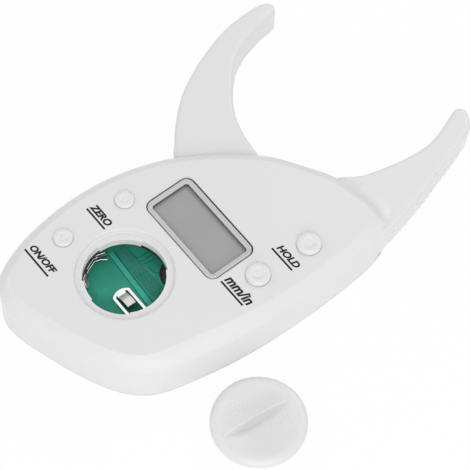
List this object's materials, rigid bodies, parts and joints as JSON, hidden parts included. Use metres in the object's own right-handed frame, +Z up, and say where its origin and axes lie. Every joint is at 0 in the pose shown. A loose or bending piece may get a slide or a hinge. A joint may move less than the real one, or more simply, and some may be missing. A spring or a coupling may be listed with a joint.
{
  "type": "skinfold caliper",
  "caption": "Digital skinfold caliper with a shield-shaped white housing, a fixed and a swinging curved jaw, a small display, push buttons and an open coin-cell well with its cap beside it.",
  "frame": {"origin": "on the resting plane, under the centre of the display", "axes": "+Z up out of the cover, +Y towards the jaws, +X to the right of the display"},
  "size_m": [0.1016, 0.1244, 0.0172],
  "materials": {
    "shell_white": "glossy",
    "bezel_grey": "satin",
    "display_grey": "satin",
    "board_green": "satin",
    "bright_metal": "polished",
    "screw_steel": "satin",
    "zebra_rubber": "matte",
    "black_resin": "satin"
  },
  "bodies": {
    "housing": {"upper_housing": "shell_white", "lower_housing": "shell_white", "main_board": "board_green", "pivot_screw": "screw_steel", "pivot_washer": "screw_steel", "housing_screw_1": "screw_steel", "housing_screw_2": "screw_steel", "housing_screw_3": "screw_steel", "housing_screw_4": "screw_steel", "board_screw_1": "screw_steel", "board_screw_2": "screw_steel", "board_screw_3": "screw_steel", "display_bezel": "bezel_grey", "display_panel": "display_grey", "zebra_strip_upper": "zebra_rubber", "zebra_strip_lower": "zebra_rubber", "chip_blob": "black_resin", "contact_negative": "bright_metal", "contact_positive": "bright_metal", "switch_on_off": "bright_metal", "switch_zero": "bright_metal", "switch_unit": "bright_metal", "switch_hold": "bright_metal"},
    "jaw": {"moving_jaw": "shell_white", "scale_plate": "board_green"},
    "cap": {"battery_cap": "shell_white"},
    "key_on_off": {"button_on_off": "shell_white", "plunger_on_off": "black_resin"},
    "key_zero": {"button_zero": "shell_white", "plunger_zero": "black_resin"},
    "key_unit": {"button_unit": "shell_white", "plunger_unit": "black_resin"},
    "key_hold": {"button_hold": "shell_white", "plunger_hold": "black_resin"}
  },
  "joints": [
    {"name": "jaw_hinge", "type": "hinge", "parent": "housing", "child": "jaw", "pos_m": [0.0044, 0.009, 0.0045], "axis": [0, 0, -1], "range_deg": [0, 49.5]},
    {"name": "press_on_off", "type": "slide", "parent": "housing", "child": "key_on_off", "axis": [0, 0, -1], "range_m": [0, 0.0004], "stiffness_N_per_m": 1500},
    {"name": "press_zero", "type": "slide", "parent": "housing", "child": "key_zero", "axis": [0, 0, -1], "range_m": [0, 0.0004], "stiffness_N_per_m": 1500},
    {"name": "press_unit", "type": "slide", "parent": "housing", "child": "key_unit", "axis": [0, 0, -1], "range_m": [0, 0.0004], "stiffness_N_per_m": 1500},
    {"name": "press_hold", "type": "slide", "parent": "housing", "child": "key_hold", "axis": [0, 0, -1], "range_m": [0, 0.0004], "stiffness_N_per_m": 1500},
    {"name": "cap_lift", "type": "slide", "parent": "housing", "child": "cap", "axis": [0, 0, 1], "range_m": [0, 0.03]}
  ]
}
